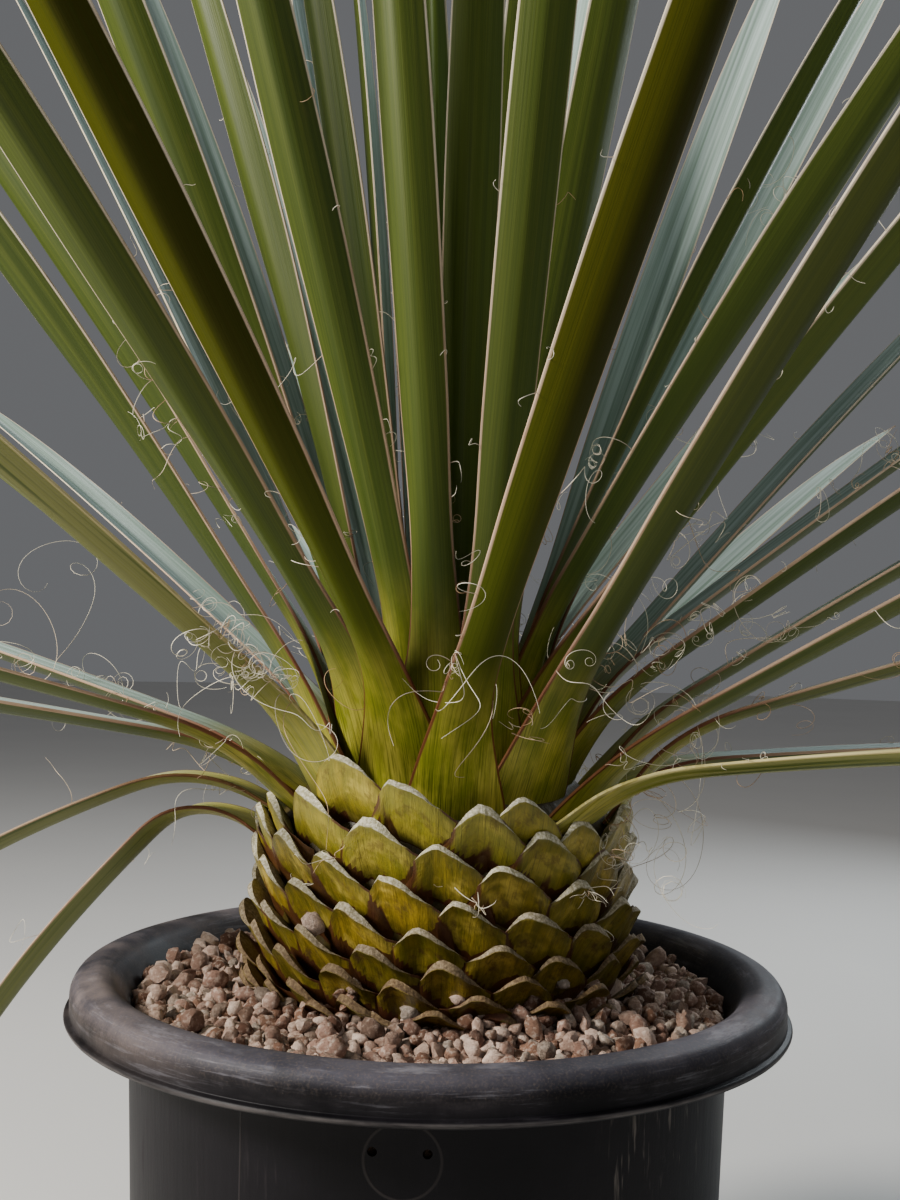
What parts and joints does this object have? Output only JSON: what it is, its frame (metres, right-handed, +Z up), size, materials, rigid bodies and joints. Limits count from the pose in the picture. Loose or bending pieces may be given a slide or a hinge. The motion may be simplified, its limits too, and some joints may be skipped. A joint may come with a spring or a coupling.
{
  "type": "potted plant",
  "caption": "Young tree yucca with a fan of long stiff leaves, thread-like fibres and a stem of trimmed leaf bases, in a round black plastic pot topped with pumice gravel.",
  "frame": {"origin": "centre of the pot's flat underside", "axes": "+Z up along the pot's axis, -Y towards the front shown in the picture"},
  "size_m": [1.2822, 1.1128, 0.9245],
  "materials": {
    "black_plastic": "matte moulded plastic, scuffed and dusty",
    "potting_soil": "damp bark and peat mix",
    "pumice": "loose rough pumice stones",
    "leaf_base": "fibrous cut leaf bases, satin",
    "leaf_green": "stiff living leaf, satin",
    "young_leaf_green": "stiff living leaf, satin"
  },
  "bodies": {
    "root": {"pot": "black_plastic", "soil": "potting_soil", "gravel": "pumice", "trunk": "leaf_base", "leaf_01": "leaf_green", "leaf_02": "leaf_green", "leaf_03": "leaf_green", "leaf_04": "leaf_green", "leaf_05": "leaf_green", "leaf_06": "leaf_green", "leaf_07": "leaf_green", "leaf_08": "leaf_green", "leaf_09": "leaf_green", "leaf_10": "leaf_green", "leaf_11": "leaf_green", "leaf_12": "leaf_green", "leaf_13": "leaf_green", "leaf_14": "leaf_green", "leaf_15": "leaf_green", "leaf_16": "leaf_green", "leaf_17": "leaf_green", "leaf_18": "leaf_green", "leaf_19": "leaf_green", "leaf_20": "leaf_green", "leaf_21": "leaf_green", "leaf_22": "leaf_green", "leaf_23": "leaf_green", "leaf_24": "leaf_green", "leaf_25": "leaf_green", "leaf_26": "leaf_green", "leaf_27": "leaf_green", "leaf_28": "leaf_green", "leaf_29": "leaf_green", "leaf_30": "leaf_green", "leaf_31": "leaf_green", "leaf_32": "leaf_green", "leaf_33": "leaf_green", "leaf_34": "leaf_green", "leaf_35": "leaf_green", "leaf_36": "leaf_green", "leaf_37": "leaf_green", "leaf_38": "leaf_green", "leaf_39": "leaf_green", "leaf_40": "leaf_green", "leaf_41": "leaf_green", "leaf_42": "leaf_green", "leaf_43": "leaf_green", "leaf_44": "leaf_green", "leaf_45": "leaf_green", "leaf_46": "leaf_green", "leaf_47": "leaf_green", "leaf_48": "leaf_green", "leaf_49": "leaf_green", "leaf_50": "leaf_green", "leaf_51": "leaf_green", "leaf_52": "leaf_green", "leaf_53": "leaf_green", "leaf_54": "leaf_green", "young_leaves": "young_leaf_green"}
  },
  "joints": []
}
